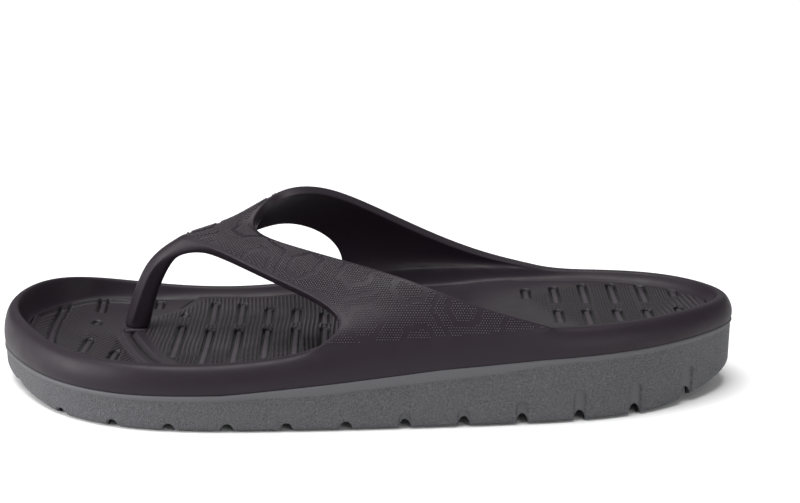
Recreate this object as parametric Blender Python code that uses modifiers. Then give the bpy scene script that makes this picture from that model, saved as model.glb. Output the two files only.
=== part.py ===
"""Flip flop for a left foot: a moulded upper with its toe post, a footbed and an outsole.

The toe points to -X, the inner side of the foot is +Y and the tread rests on Z = 0.
Sizes below are in millimetres, and SCALE turns them into metres.
"""

import math

import bmesh
import bpy
import numpy as np

SCALE = 0.001
FIT_GAP = 0.3            # bonded faces keep this apart
CUT_PAST = 4.0           # cutters run this far past what they cut

# Overall size of the plan outline. Every place below is drawn at the pattern's size and is then
# graded, as a shoe pattern is, while walls, gaps, radii and heights keep their own values.
LENGTH = 295.0
WIDTH = 109.0
PATTERN_LENGTH = 295.0
PATTERN_WIDTH = 109.0
GRADE_X = LENGTH / PATTERN_LENGTH
GRADE_Y = WIDTH / PATTERN_WIDTH

# Plan outline at the seam between upper and outsole, from the toe round the outer side to the
# heel and back along the inner side: x, y, height of the seam, height of the rim.
OUTLINE = (
    (-149.0, 10.0, 14.6, 29.0),
    (-138.5, -13.5, 14.2, 26.6),
    (-118.5, -36.5, 14.0, 24.2),
    (-89.0, -51.5, 13.9, 23.8),
    (-52.0, -55.0, 14.6, 24.4),
    (-12.0, -53.5, 18.6, 29.0),
    (28.0, -50.5, 23.0, 33.2),
    (64.0, -47.0, 25.4, 34.9),
    (98.0, -39.8, 26.4, 35.2),
    (127.0, -23.5, 26.8, 35.4),
    (146.0, 1.0, 27.2, 35.2),
    (134.0, 24.5, 26.8, 35.2),
    (105.0, 38.5, 26.4, 34.8),
    (70.0, 43.5, 25.4, 33.8),
    (30.0, 46.0, 23.2, 33.4),
    (-10.0, 50.0, 18.6, 29.0),
    (-50.0, 54.0, 14.6, 23.2),
    (-90.0, 53.5, 13.9, 24.2),
    (-122.0, 48.0, 14.0, 29.0),
    (-141.0, 33.5, 14.4, 31.4),
)
STATIONS = 52            # sections round the outline, an even number

# Sidewall of the upper: distance in from the outline, then share of the way from seam to rim.
WALL_EDGE = 0.6
WALL_INSET = ((0.0, 0.18), (0.3, 0.52), (1.5, 0.84))
SEAT_INSET = 10.6        # inner face of the wall, where the footbed fits
CREST_INSET = (3.4, SEAT_INSET - 4.2)
CREST_RISE = 1.0         # cage points stand this far above the finished rim
COVE_INSET = (SEAT_INSET - 2.6, SEAT_INSET - 1.0)
COVE_RISE = 0.5          # foot of the cove above the footbed
BASE_SPREAD = (1.4, 1.2, 0.6)            # under the strap: crest outwards, crest inwards, cove

# Footbed: height along its middle, and how much the dish rises towards its edges.
FLOOR_LINE = (
    (-150.0, 23.0),
    (-125.0, 19.2),
    (-95.0, 17.2),
    (-55.0, 17.6),
    (-20.0, 20.6),
    (20.0, 26.2),
    (60.0, 30.0),
    (100.0, 31.2),
    (150.0, 32.4),
)
DISH_RISE = ((-150.0, 5.0), (-120.0, 4.5), (-90.0, 2.5), (-40.0, 1.8), (150.0, 1.6))
FLOOR_CENTRE = ((-95.0, 4.0), (0.0, -1.0), (100.0, -1.0))
FLOOR_HALF_WIDTH = 42.0
SLOT_WIDTH = 2.8
SLOT_DEPTH = 1.3
SLOT_PART = 4.4          # between the outer and the inner row

# Slots across the footbed: x, then y at the outer end, between the two rows and at the inner end.
SLOTS = (
    (-75.6, -28.0, 15.6, 27.0),
    (-63.8, -39.5, 10.5, 38.5),
    (-52.2, -36.0, 10.3, 37.5),
    (-40.6, -32.5, 8.2, 30.7),
    (-29.0, -31.0, 6.0, 25.8),
    (-17.4, -21.6, 5.2, 20.8),
    (75.0, -19.0, 2.0, 26.8),
    (86.4, -23.0, 0.2, 27.6),
    (98.2, -19.7, -1.2, 27.0),
    (110.2, -17.0, 0.8, 26.5),
    (122.6, -11.0, 3.0, 23.7),
)
# Single slots at the toe: x and y at one end, x and y at the other.
TOE_SLOTS = (
    (-123.9, -13.9, -127.0, 42.0),
    (-113.1, 28.8, -113.9, 43.2),
    (-110.3, -17.4, -112.1, 1.1),
    (-97.4, -27.5, -99.3, -10.3),
)

# Outsole: where the tread lifts at toe and heel, how far, and its rounded lower edge.
TOE_LIFT = (-116.0, 32.0, 5.0, 1.4)      # start, run, rise, power
HEEL_LIFT = (106.0, 40.0, 8.0, 1.6)
TREAD_EDGE = ((9.0, 0.0), (3.4, 0.0), (1.9, 1.0), (1.3, 4.5))   # distance in, rise
OUTSOLE_TOP_INSET = 0.5
OUTSOLE_TOP_EDGE = (1.2, 0.3)            # height and depth of its rounded upper edge
GROOVE_FIRST = -137.5
GROOVE_PITCH = 21.7
GROOVE_COUNT = 13
GROOVE_RADIUS = 2.0
GROOVE_CROWN = 2.6       # height of the channel in the tread
FLUTE_DEPTH = 1.6        # from the outline to the flute's bottom
FLUTE_RUN = 1.0          # from the flute's bottom to the channel
FLUTE_FLARE = (3.0, 1.2)                 # how far past the outline a flute's cutter runs, and drops
FLUTE_HEIGHT = ((-150.0, 5.0), (-12.0, 5.0), (30.0, 8.0), (80.0, 14.0), (150.0, 15.0))

# Strap: front and rear edges of its outer face, from the outer side over to the inner side.
STRAP_FRONT = (
    (-12.0, -49.0, 34.5),
    (-7.5, -45.0, 41.0),
    (-18.0, -34.5, 45.5),
    (-33.0, -23.0, 48.5),
    (-48.0, -11.0, 52.0),
    (-63.0, -1.0, 55.5),
    (-75.0, 6.5, 56.5),
    (-64.0, 13.5, 55.0),
    (-52.0, 21.0, 56.5),
    (-39.5, 31.0, 60.0),
    (-28.0, 40.0, 57.0),
    (-18.0, 46.5, 48.5),
    (-13.5, 50.0, 36.0),
)
STRAP_REAR = (
    (62.0, -42.8, 37.0),
    (41.0, -43.5, 46.0),
    (18.0, -39.0, 55.0),
    (-3.0, -26.5, 57.5),
    (-23.0, -11.5, 58.5),
    (-39.0, 0.0, 59.5),
    (-46.5, 8.5, 62.5),
    (-44.0, 14.5, 68.0),
    (-36.0, 20.5, 74.8),
    (-19.5, 29.5, 74.0),
    (0.0, 37.5, 63.8),
    (24.0, 42.5, 50.5),
    (50.0, 43.0, 40.0),
)
STRAP_ACROSS = 6         # faces between the front and the rear edge
STRAP_THICK = 4.6
STRAP_CROWN = 1.6
STRAP_BASE_FRONT = -20.0 # x of its first station on the wall

# Toe post, down from the nose of the strap to the footbed: centre, then half sizes in X and Y.
POST_FOOT = (-94.5, 12.0)
POST_RINGS = (
    (-80.5, 8.6, 50.0, 4.6, 4.8),
    (-87.2, 10.3, 40.5, 4.4, 4.2),
    (-91.6, 11.5, 29.0, 4.5, 4.2),
)
POST_FOOT_HALF = (4.9, 4.5)
POST_RIDGE = 1.2         # how far the front of the post stands out along its middle
COLLAR_RADIUS = 6.2
COLLAR_HEIGHT = 1.5
COLLAR_CLEAR = 0.5       # above the highest footbed under it
SHANK_RADIUS = 4.2
FLANGE_RADIUS = 9.0
FLANGE_THICK = 2.6
TURN_STEPS = 24


def closed_spline(points, count):
    """Evenly spaced points on the smooth closed curve through the given ones."""
    points = np.array(points, float)
    size = len(points)
    ahead = np.roll(points, -1, axis=0)
    span = np.linalg.norm((ahead - points)[:, :2], axis=1)
    before = np.roll(span, 1)
    matrix = np.zeros((size, size))
    right = np.zeros_like(points)
    slope = (ahead - points) / span[:, None]
    for i in range(size):
        matrix[i, (i - 1) % size] = before[i]
        matrix[i, i] = 2 * (before[i] + span[i])
        matrix[i, (i + 1) % size] = span[i]
        right[i] = 6 * (slope[i] - slope[i - 1])
    bend = np.linalg.solve(matrix, right)
    length = np.concatenate([[0], np.cumsum(span)])
    curve = []
    for value in np.arange(count) * length[-1] / count:
        i = min(int(np.searchsorted(length, value, side="right")) - 1, size - 1)
        a = (length[i + 1] - value) / span[i]
        b = 1 - a
        j = (i + 1) % size
        curve.append(
            a * points[i]
            + b * points[j]
            + ((a**3 - a) * bend[i] + (b**3 - b) * bend[j]) * span[i] ** 2 / 6
        )
    return np.array(curve)


def inward(plan):
    """Unit directions in the plan view that point into the sole."""
    along = np.roll(plan, -1, axis=0)[:, :2] - np.roll(plan, 1, axis=0)[:, :2]
    along /= np.linalg.norm(along, axis=1)[:, None]
    return np.stack([-along[:, 1], along[:, 0]], axis=1)


def graded(places):
    """Places drawn at the pattern's size, as rows of x, y and more, at this shoe's length and width."""
    return [(row[0] * GRADE_X, row[1] * GRADE_Y, *row[2:]) for row in places]


PLAN = closed_spline(graded(OUTLINE), STATIONS)
PLAN_IN = inward(PLAN)
POST_PLACE = graded([POST_FOOT])[0]


def ring(distance, height):
    """The outline moved inwards by a distance, at one height for each station."""
    flat = PLAN[:, :2] + PLAN_IN * np.reshape(distance, (-1, 1))
    return np.column_stack([flat, np.broadcast_to(height, len(PLAN))])


def ramp(value, low, high):
    share = np.clip((value - low) / (high - low), 0, 1)
    return share * share * (3 - 2 * share)


def floor_height(x, y):
    """Height of the footbed's upper face."""
    x, y = x / GRADE_X, y / GRADE_Y
    line = np.array(FLOOR_LINE)
    near = np.searchsorted(line[:, 0], x).clip(1, len(line) - 1)
    low, high = line[near - 1], line[near]
    middle = low[..., 1] + (high - low)[..., 1] * ramp(x, low[..., 0], high[..., 0])
    centre = np.interp(x, *np.transpose(FLOOR_CENTRE))
    rise = np.interp(x, *np.transpose(DISH_RISE))
    return middle + rise * ((y - centre) / FLOOR_HALF_WIDTH) ** 2


def seam_height(x):
    """Height of the outsole's upper face, which is level across the sole."""
    half = np.array(OUTLINE[:11])
    return np.interp(x / GRADE_X, half[:, 0], half[:, 2])


def tread_height(x):
    """Height of the outsole's lower face, which curls up at the toe and the heel."""
    x = x / GRADE_X
    start, run, rise, power = TOE_LIFT
    toe = rise * np.clip((start - x) / run, 0, 2) ** power
    start, run, rise, power = HEEL_LIFT
    return toe + rise * np.clip((x - start) / run, 0, 2) ** power


def new_object(name, colour, roughness, collection):
    """An empty mesh object with its own material."""
    mesh = bpy.data.meshes.new(name)
    obj = bpy.data.objects.new(name, mesh)
    collection.objects.link(obj)
    material = bpy.data.materials.new(name)
    material.use_nodes = True
    shader = material.node_tree.nodes["Principled BSDF"]
    shader.inputs["Base Color"].default_value = (*colour, 1)
    shader.inputs["Roughness"].default_value = roughness
    mesh.materials.append(material)
    return obj


def fill(obj, mesh):
    """Puts a bmesh made in millimetres into the object, facing out."""
    bmesh.ops.recalc_face_normals(mesh, faces=mesh.faces)
    bmesh.ops.scale(mesh, vec=(SCALE,) * 3, verts=mesh.verts)
    mesh.to_mesh(obj.data)
    mesh.free()
    obj.data.shade_smooth()
    obj.data.set_sharp_from_angle(angle=math.radians(40))


def keep_sharp(mesh, row):
    """Keeps the closed loop through a row of vertices sharp when the cage is smoothed."""
    layer = mesh.edges.layers.float.get("crease_edge") or mesh.edges.layers.float.new("crease_edge")
    for a, b in zip(row, row[1:] + row[:1]):
        mesh.edges.get((a, b))[layer] = 1.0


def smooth_cage(obj):
    """One level of subdivision. All three mouldings take the same one, so their edges still meet."""
    smooth = obj.modifiers.new("smooth", "SUBSURF")
    smooth.levels = smooth.render_levels = 1


def add_rows(mesh, rows, closed=True):
    """Faces between successive rows of points. Returns the rows of vertices."""
    made = [[mesh.verts.new(point) for point in row] for row in rows]
    for low, high in zip(made, made[1:]):
        count = len(low)
        for i in range(count if closed else count - 1):
            j = (i + 1) % count
            mesh.faces.new((low[i], low[j], high[j], high[i]))
    return made


def add_ladder(mesh, loop, columns, height):
    """Closes a loop of vertices with rungs from its outer side to its inner side.

    Points between the two sides take their height from a function of x and y.
    """
    half = len(loop) // 2
    previous = [loop[0]] * (columns + 1)
    for i in range(1, half + 1):
        left, right = loop[i], loop[-i]
        rung = [left]
        for j in range(1, columns):
            if left is right:
                break
            point = left.co.lerp(right.co, j / columns)
            point.z = height(point.x, point.y)
            rung.append(mesh.verts.new(point))
        rung = rung + [right] if left is not right else [left] * (columns + 1)
        for j in range(columns):
            corners = [previous[j], previous[j + 1], rung[j + 1], rung[j]]
            unique = list(dict.fromkeys(corners))
            if len(unique) > 2:
                mesh.faces.new(unique)
        previous = rung


def nearest_station(x, side):
    """Station whose x is nearest on the outer side (-1) or on the inner side (1)."""
    half = STATIONS // 2
    found = range(1, half) if side < 0 else range(half + 1, STATIONS)
    return min(found, key=lambda i: abs(PLAN[i, 0] - x))


def base_stations(side):
    """The stations under one end of the strap, front to rear."""
    first = nearest_station(STRAP_BASE_FRONT * GRADE_X, side)
    step = 1 if side < 0 else -1
    return [(first + step * i) % STATIONS for i in range(STRAP_ACROSS + 1)]


def wall_rows():
    """Rows of the sidewall's section, from its lower outer edge over the rim to its lower inner edge."""
    seam, rim = seam_height(PLAN[:, 0]), PLAN[:, 3]
    under = np.zeros(STATIONS)
    for side in (-1, 1):
        for order, i in enumerate(base_stations(side)):
            under[i] = min(1, (order + 1) / 2, (STRAP_ACROSS + 1 - order) / 2)
    rows = [ring(WALL_EDGE, seam + FIT_GAP)]
    for distance, share in WALL_INSET:
        rows.append(ring(distance * (1 - 0.5 * under), seam + share * (rim - seam)))
    crest_out, crest_in = CREST_INSET
    spread_out, spread_in, spread_cove = BASE_SPREAD
    rows.append(ring(crest_out - spread_out * under, rim + CREST_RISE + under))
    rows.append(ring(crest_in + spread_in * under, rim + CREST_RISE + under))
    foot = ring(SEAT_INSET, 0)
    floor = floor_height(foot[:, 0], foot[:, 1])
    rows.append(ring(COVE_INSET[0] + spread_cove * under, (floor + rim) / 2))
    rows.append(ring(COVE_INSET[1], floor + COVE_RISE))
    rows.append(ring(SEAT_INSET, floor))
    rows.append(ring(SEAT_INSET, seam_height(foot[:, 0]) + FIT_GAP))
    return rows


def strap_grid():
    """Outer and inner points of the strap, one row for each pair of edge points."""
    front, rear = np.array(graded(STRAP_FRONT)), np.array(graded(STRAP_REAR))
    share = np.linspace(0, 1, STRAP_ACROSS + 1)[None, :, None]
    outer = front[:, None] * (1 - share) + rear[:, None] * share
    normal = np.cross(np.gradient(outer, axis=0), np.gradient(outer, axis=1))
    normal /= np.linalg.norm(normal, axis=2)[..., None]
    normal *= np.sign(normal[len(front) // 2, STRAP_ACROSS // 2, 2])
    outer = outer + normal * STRAP_CROWN * (4 * share * (1 - share))
    return outer, outer - normal * STRAP_THICK


def add_post(mesh, nose):
    """Draws the post down from the two end faces at the strap's nose, and closes its foot."""
    outer, inner = nose
    loop = outer + inner[::-1]
    seat = collar_seat()
    rings = graded([*POST_RINGS, (*POST_FOOT, seat + COLLAR_HEIGHT, *POST_FOOT_HALF)])
    for x, y, z, half_x, half_y in rings:
        ridge = [(-half_x, -half_y), (-half_x - POST_RIDGE, 0), (-half_x, half_y)]
        back = [(half_x, half_y), (half_x, 0), (half_x, -half_y)]
        points = [mesh.verts.new((x + dx, y + dy, z)) for dx, dy in ridge + back]
        for i in range(6):
            j = (i + 1) % 6
            mesh.faces.new((loop[i], loop[j], points[j], points[i]))
        loop = points
    end = [mesh.verts.new((v.co.x, v.co.y, seat + COLLAR_HEIGHT / 3)) for v in loop]
    for i in range(6):
        j = (i + 1) % 6
        mesh.faces.new((loop[i], loop[j], end[j], end[i]))
    mesh.faces.new((end[0], end[1], end[4], end[5]))
    mesh.faces.new((end[1], end[2], end[3], end[4]))


def make_upper(collection, helpers):
    """Sidewall, strap and toe post as one moulding, with the anchor under the post."""
    mesh = bmesh.new()
    rows = add_rows(mesh, wall_rows())
    for i in range(STATIONS):
        j = (i + 1) % STATIONS
        mesh.faces.new((rows[-1][i], rows[-1][j], rows[0][j], rows[0][i]))
    crest_out, crest_in = rows[len(WALL_INSET) + 1:len(WALL_INSET) + 3]
    outer_points, inner_points = strap_grid()
    outer = [[mesh.verts.new(p) for p in row] for row in outer_points]
    inner = [[mesh.verts.new(p) for p in row] for row in inner_points]
    for side in (-1, 1):
        base = base_stations(side)
        for a, b in zip(base, base[1:]):
            quad = {crest_out[a], crest_out[b], crest_in[a], crest_in[b]}
            shared = [f for f in crest_out[a].link_faces if set(f.verts) == quad]
            bmesh.ops.delete(mesh, geom=shared, context="FACES_ONLY")
        place = 0 if side < 0 else len(outer)
        outer.insert(place, [crest_out[i] for i in base])
        inner.insert(place, [crest_in[i] for i in base])
    middle = len(outer) // 2
    for r in range(len(outer) - 1):
        for i in range(STRAP_ACROSS):
            mesh.faces.new((outer[r][i], outer[r][i + 1], outer[r + 1][i + 1], outer[r + 1][i]))
            mesh.faces.new((inner[r][i], inner[r + 1][i], inner[r + 1][i + 1], inner[r][i + 1]))
        for i in (0, STRAP_ACROSS):
            if i == 0 and r in (middle - 1, middle):
                continue
            mesh.faces.new((outer[r][i], outer[r + 1][i], inner[r + 1][i], inner[r][i]))
    nose = range(middle - 1, middle + 2)
    add_post(mesh, ([outer[r][0] for r in nose], [inner[r][0] for r in nose]))
    for row in (rows[0], rows[-2], rows[-1]):
        keep_sharp(mesh, row)
    upper = new_object("upper", (0.030, 0.027, 0.030), 0.55, collection)
    fill(upper, mesh)
    smooth_cage(upper)
    join = upper.modifiers.new("anchor", "BOOLEAN")
    join.operation = "UNION"
    join.object = turned("anchor", anchor_profile(), helpers)
    return upper


def collar_seat():
    """Height of the collar's underside, just clear of the dished footbed all round."""
    turn = np.linspace(0, 2 * math.pi, TURN_STEPS)
    x = POST_PLACE[0] + COLLAR_RADIUS * np.cos(turn)
    y = POST_PLACE[1] + COLLAR_RADIUS * np.sin(turn)
    return float(floor_height(x, y).max()) + COLLAR_CLEAR


def anchor_profile():
    """Half section of the collar, shank and flange, from the top down, as (radius, height)."""
    seat = collar_seat()
    seam = float(seam_height(POST_PLACE[0]))
    return (
        (0.0, seat + COLLAR_HEIGHT),
        (COLLAR_RADIUS - COLLAR_HEIGHT / 2, seat + COLLAR_HEIGHT),
        (COLLAR_RADIUS, seat + COLLAR_HEIGHT / 3),
        (COLLAR_RADIUS, seat),
        (SHANK_RADIUS, seat),
        (SHANK_RADIUS, seam),
        (FLANGE_RADIUS, seam),
        (FLANGE_RADIUS, seam - FLANGE_THICK),
        (0.0, seam - FLANGE_THICK),
    )


def turned(name, profile, helpers):
    """A solid of revolution round the post's axis, kept as a helper for a Boolean."""
    mesh = bmesh.new()
    points = [mesh.verts.new((r * SCALE, 0, z * SCALE)) for r, z in profile]
    for a, b in zip(points, points[1:]):
        mesh.edges.new((a, b))
    data = bpy.data.meshes.new(name)
    mesh.to_mesh(data)
    mesh.free()
    obj = bpy.data.objects.new(name, data)
    obj.location = (POST_PLACE[0] * SCALE, POST_PLACE[1] * SCALE, 0)
    helpers.objects.link(obj)
    screw = obj.modifiers.new("turn", "SCREW")
    screw.steps = screw.render_steps = TURN_STEPS
    screw.use_merge_vertices = True
    screw.merge_threshold = 0.00001
    return as_helper(obj)


def as_helper(obj):
    obj.hide_render = True
    obj.display_type = "WIRE"
    return obj


def cut(obj, cutter):
    take = obj.modifiers.new(cutter.name, "BOOLEAN")
    take.operation = "DIFFERENCE"
    take.object = cutter


def slot_ends():
    """Both ends of each slot in the footbed."""
    for x, *places in SLOTS:
        outer, middle, inner = graded([(x, y) for y in places])
        yield outer, (middle[0], middle[1] - SLOT_PART / 2)
        yield (middle[0], middle[1] + SLOT_PART / 2), inner
    for x, y, far_x, far_y in TOE_SLOTS:
        yield graded([(x, y), (far_x, far_y)])


def make_slot_cutter(helpers):
    """A bar along each slot, its underside sunk below the footbed by the slot's depth."""
    mesh = bmesh.new()
    for start, end in slot_ends():
        along = np.subtract(end, start) / math.dist(start, end)
        across = np.array([-along[1], along[0]]) * SLOT_WIDTH / 2
        corners = [start - across, end - across, end + across, start + across]
        low = [(*c, floor_height(*c) - SLOT_DEPTH) for c in corners]
        high = [(*c, floor_height(*c) + CUT_PAST) for c in corners]
        rows = add_rows(mesh, (low, high))
        mesh.faces.new(rows[0])
        mesh.faces.new(rows[1])
    cutter = new_object("slots", (0.5, 0.5, 0.5), 0.5, helpers)
    fill(cutter, mesh)
    return as_helper(cutter)


def make_footbed(collection, helpers):
    """The panel that the foot stands on, fitted inside the sidewall."""
    mesh = bmesh.new()
    edge = ring(SEAT_INSET + FIT_GAP, 0)
    lower = edge.copy()
    lower[:, 2] = seam_height(edge[:, 0]) + FIT_GAP
    upper = edge.copy()
    upper[:, 2] = floor_height(edge[:, 0], edge[:, 1])
    rows = add_rows(mesh, (lower, upper))
    add_ladder(mesh, rows[0], 2, lambda x, y: seam_height(x) + FIT_GAP)
    add_ladder(mesh, rows[1], 10, floor_height)
    for row in rows:
        keep_sharp(mesh, row)
    footbed = new_object("footbed", (0.034, 0.031, 0.034), 0.6, collection)
    fill(footbed, mesh)
    smooth_cage(footbed)
    cut(footbed, make_slot_cutter(helpers))
    cut(footbed, turned("post_hole", anchor_hole_profile(), helpers))
    return footbed


def anchor_hole_profile():
    """Plain hole through the footbed round the anchor's shank."""
    radius = SHANK_RADIUS + FIT_GAP
    top = float(floor_height(*POST_PLACE)) + CUT_PAST
    low = float(seam_height(POST_PLACE[0])) - CUT_PAST
    return ((0.0, top), (radius, top), (radius, low), (0.0, low))


def anchor_pocket_profile():
    """Pocket in the outsole for the anchor's flange."""
    radius = FLANGE_RADIUS + FIT_GAP
    seam = float(seam_height(POST_PLACE[0]))
    top = seam + CUT_PAST
    low = seam - FLANGE_THICK - FIT_GAP
    return ((0.0, top), (radius, top), (radius, low), (0.0, low))


def make_groove_cutter(helpers):
    """A rounded channel across the tread for each groove, turned up at both ends into a flute."""
    mesh = bmesh.new()
    half = STATIONS // 2
    outer, inner = PLAN[:half + 1], PLAN[half:][::-1]
    for i in range(GROOVE_COUNT):
        place = GROOVE_FIRST + GROOVE_PITCH * i
        x = place * GRADE_X
        low = float(np.interp(x, outer[:, 0], outer[:, 1]))
        high = float(np.interp(x, inner[:, 0], inner[:, 1]))
        top = float(np.interp(place, *np.transpose(FLUTE_HEIGHT)))
        add_groove(mesh, x, low, high, float(tread_height(x)), top)
    cutter = new_object("grooves", (0.5, 0.5, 0.5), 0.5, helpers)
    fill(cutter, mesh)
    return as_helper(cutter)


def add_groove(mesh, x, low, high, base, top):
    """One channel from side to side: a bar across the tread and a flute up each wall."""
    turn = [math.pi * k / 4 for k in range(5)]
    arch = [(GROOVE_RADIUS * math.cos(a), GROOVE_RADIUS * (math.sin(a) - 1)) for a in turn]
    past, drop = FLUTE_FLARE
    path = [
        (low - past, top - drop),
        (low + FLUTE_DEPTH, top),
        (low + FLUTE_DEPTH + FLUTE_RUN, GROOVE_CROWN),
        (high - FLUTE_DEPTH - FLUTE_RUN, GROOVE_CROWN),
        (high - FLUTE_DEPTH, top),
        (high + past, top - drop),
    ]
    rows = []
    for y, crown in path:
        row = [(x + dx, y, base + crown + dz) for dx, dz in arch]
        row = [(x + GROOVE_RADIUS, y, base - CUT_PAST)] + row + [(x - GROOVE_RADIUS, y, base - CUT_PAST)]
        rows.append(row)
    made = add_rows(mesh, rows)
    mesh.faces.new(made[0])
    mesh.faces.new(made[-1])


def make_outsole(collection, helpers):
    """The sole that meets the ground, level across its top and rounded below."""
    mesh = bmesh.new()
    rows = []
    for distance, rise in TREAD_EDGE:
        row = ring(distance, 0)
        row[:, 2] = tread_height(row[:, 0]) + rise
        rows.append(row)
    edge_high, edge_deep = OUTSOLE_TOP_EDGE
    rows.append(ring(OUTSOLE_TOP_INSET, seam_height(PLAN[:, 0]) - edge_high))
    top = ring(OUTSOLE_TOP_INSET + edge_deep, 0)
    top[:, 2] = seam_height(top[:, 0])
    rows.append(top)
    made = add_rows(mesh, rows)
    add_ladder(mesh, made[0], 2, lambda x, y: tread_height(x))
    add_ladder(mesh, made[-1], 2, lambda x, y: seam_height(x))
    keep_sharp(mesh, made[-1])
    outsole = new_object("outsole", (0.16, 0.16, 0.165), 0.7, collection)
    fill(outsole, mesh)
    smooth_cage(outsole)
    cut(outsole, make_groove_cutter(helpers))
    cut(outsole, turned("anchor_pocket", anchor_pocket_profile(), helpers))
    return outsole


def centre(parts):
    """Hangs everything on one empty, moved so that the origin is under the middle of the whole shoe."""
    bpy.context.view_layer.update()
    graph = bpy.context.evaluated_depsgraph_get()
    corners = [corner[:] for obj in parts.objects for corner in obj.evaluated_get(graph).bound_box]
    middle = (np.min(corners, axis=0) + np.max(corners, axis=0)) / 2
    origin = bpy.data.objects.new("origin", None)
    origin.location = (-middle[0], -middle[1], 0)
    bpy.context.scene.collection.objects.link(origin)
    for obj in list(bpy.data.objects):
        if obj is not origin:
            obj.parent = origin


def main():
    for obj in list(bpy.data.objects):
        bpy.data.objects.remove(obj, do_unlink=True)
    parts = bpy.data.collections.new("flip_flop")
    helpers = bpy.data.collections.new("cutters")
    bpy.context.scene.collection.children.link(parts)
    bpy.context.scene.collection.children.link(helpers)
    make_upper(parts, helpers)
    make_footbed(parts, helpers)
    make_outsole(parts, helpers)
    centre(parts)


main()
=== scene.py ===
import math

import bmesh
import bpy
import numpy as np
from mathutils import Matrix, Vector
from mathutils.bvhtree import BVHTree


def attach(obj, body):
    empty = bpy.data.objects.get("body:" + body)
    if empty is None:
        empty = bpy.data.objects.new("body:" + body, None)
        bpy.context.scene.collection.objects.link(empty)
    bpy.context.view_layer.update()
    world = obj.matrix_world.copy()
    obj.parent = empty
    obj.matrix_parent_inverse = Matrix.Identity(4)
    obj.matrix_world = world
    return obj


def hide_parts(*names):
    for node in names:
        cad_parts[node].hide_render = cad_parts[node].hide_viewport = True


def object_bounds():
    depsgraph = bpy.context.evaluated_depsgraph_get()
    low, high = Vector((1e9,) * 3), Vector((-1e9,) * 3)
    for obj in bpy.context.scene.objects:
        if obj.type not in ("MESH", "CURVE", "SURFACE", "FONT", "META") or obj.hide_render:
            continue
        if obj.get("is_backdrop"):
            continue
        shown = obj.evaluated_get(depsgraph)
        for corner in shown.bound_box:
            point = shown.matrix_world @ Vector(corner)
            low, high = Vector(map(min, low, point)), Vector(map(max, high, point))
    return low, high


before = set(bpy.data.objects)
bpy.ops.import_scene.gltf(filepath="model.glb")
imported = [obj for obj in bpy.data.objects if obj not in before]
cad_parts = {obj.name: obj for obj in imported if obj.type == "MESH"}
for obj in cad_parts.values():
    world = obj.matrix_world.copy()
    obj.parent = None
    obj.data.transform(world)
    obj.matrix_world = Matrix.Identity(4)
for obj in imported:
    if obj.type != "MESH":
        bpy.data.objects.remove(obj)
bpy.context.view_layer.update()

# ---------------------------------------------------------------------------------------------
# Studio. A wide sheet of pale paper under one broad overhead light. A long strip behind lights the
# far rims, and a softbox at each end draws the satin streaks along the near wall.
# ---------------------------------------------------------------------------------------------
scene = bpy.context.scene
scene.view_settings.view_transform = "Standard"

CAMERA_PLACE = (0.0142, -0.5093, 0.1997)
CAMERA_TILT = math.radians(74)           # from looking straight down
CAMERA_LENS = 60.75

camera = bpy.data.objects.new("camera", bpy.data.cameras.new("camera"))
camera.data.lens = CAMERA_LENS
camera.location = CAMERA_PLACE
camera.rotation_euler = (CAMERA_TILT, 0, 0)
scene.collection.objects.link(camera)
scene.camera = camera


def add_softbox(name, place, aim, size, power):
    """A rectangular area light at a place, turned to face a point."""
    light = bpy.data.lights.new(name, "AREA")
    light.shape = "RECTANGLE"
    light.size, light.size_y = size
    light.energy = power
    lamp = bpy.data.objects.new(name, light)
    lamp.location = place
    lamp.rotation_euler = (Vector(aim) - Vector(place)).to_track_quat("-Z", "Y").to_euler()
    scene.collection.objects.link(lamp)


add_softbox("rear_strip", (-0.1, 1.3, 0.62), (0, 0, 0.03), (2.2, 0.5), 1.6)
add_softbox("toe_side", (-1.0, -0.3, 0.36), (-0.08, -0.02, 0.03), (0.45, 0.45), 10.0)
add_softbox("heel_side", (0.75, -0.95, 0.3), (0.12, 0, 0.03), (0.4, 0.4), 3.4)

sky = bpy.data.objects.new("sky_panel", bpy.data.lights.new("sky_panel", "SUN"))
sky.data.energy = 3.2
sky.data.angle = math.radians(40)
sky.rotation_euler = Vector((0.16, 0.08, -1.0)).to_track_quat("-Z", "Y").to_euler()
scene.collection.objects.link(sky)

world = bpy.data.worlds.new("studio")
world.use_nodes = True
world.node_tree.nodes["Background"].inputs["Color"].default_value = (1, 1, 1, 1)
world.node_tree.nodes["Background"].inputs["Strength"].default_value = 0.28
scene.world = world

floor_mesh = bmesh.new()
bmesh.ops.create_grid(floor_mesh, x_segments=8, y_segments=8, size=4)
floor = bpy.data.objects.new("paper_floor", bpy.data.meshes.new("paper_floor"))
floor_mesh.to_mesh(floor.data)
floor_mesh.free()
scene.collection.objects.link(floor)
floor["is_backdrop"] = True

paper = bpy.data.materials.new("pale_paper")
paper.use_nodes = True
paper_nodes = paper.node_tree.nodes
paper_shader = paper_nodes["Principled BSDF"]
paper_shader.inputs["Roughness"].default_value = 0.9
paper_shader.inputs["Specular IOR Level"].default_value = 0.0
paper_tone = paper_nodes.new("ShaderNodeTexNoise")
paper_tone.inputs["Scale"].default_value = 30
paper_mix = paper_nodes.new("ShaderNodeMix")
paper_mix.data_type = "RGBA"
paper_mix.inputs["A"].default_value = (0.86, 0.86, 0.86, 1)
paper_mix.inputs["B"].default_value = (0.88, 0.88, 0.88, 1)
paper.node_tree.links.new(paper_tone.outputs["Fac"], paper_mix.inputs["Factor"])
paper.node_tree.links.new(paper_mix.outputs["Result"], paper_shader.inputs["Base Color"])
floor.data.materials.append(paper)

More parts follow.
